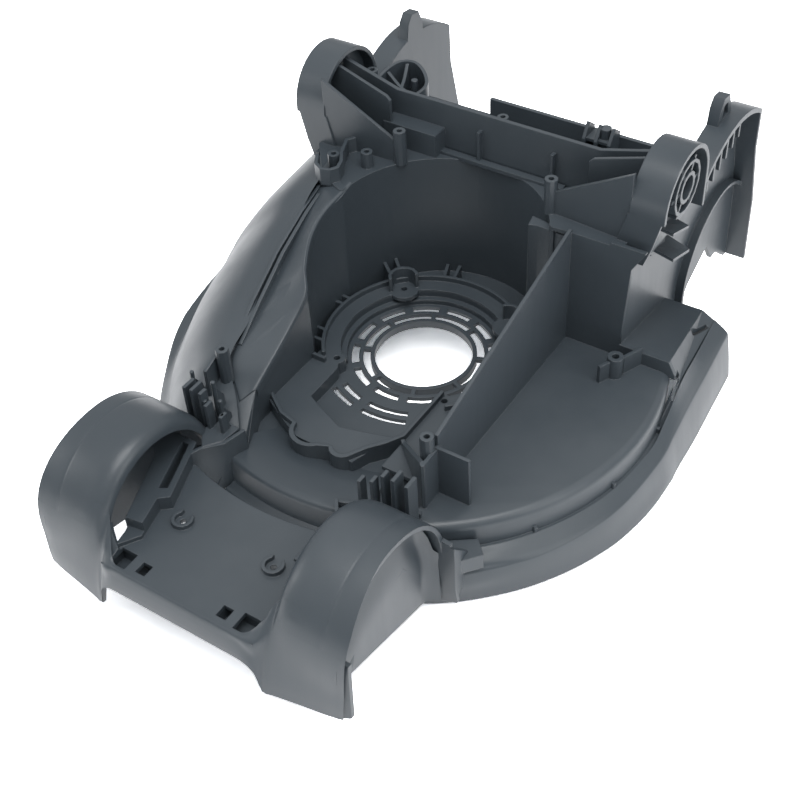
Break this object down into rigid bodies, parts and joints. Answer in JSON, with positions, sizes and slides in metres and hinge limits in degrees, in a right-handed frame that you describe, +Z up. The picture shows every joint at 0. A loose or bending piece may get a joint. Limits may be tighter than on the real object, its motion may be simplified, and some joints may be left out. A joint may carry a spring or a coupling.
{
  "type": "lawn mower deck",
  "caption": "Thin-walled moulded lawn mower deck with a vented motor opening, round motor well, side tunnel, wheel arches and handle towers.",
  "frame": {"origin": "centre of the motor opening, on the upper face of the vented ring", "axes": "+Z up along the blade axis, +Y towards the rear of the mower, +X towards the side with the flat floor"},
  "size_m": [0.368, 0.5183, 0.1977],
  "materials": {
    "deck_plastic": "satin moulded"
  },
  "bodies": {
    "root": {"deck": "deck_plastic"}
  },
  "joints": []
}
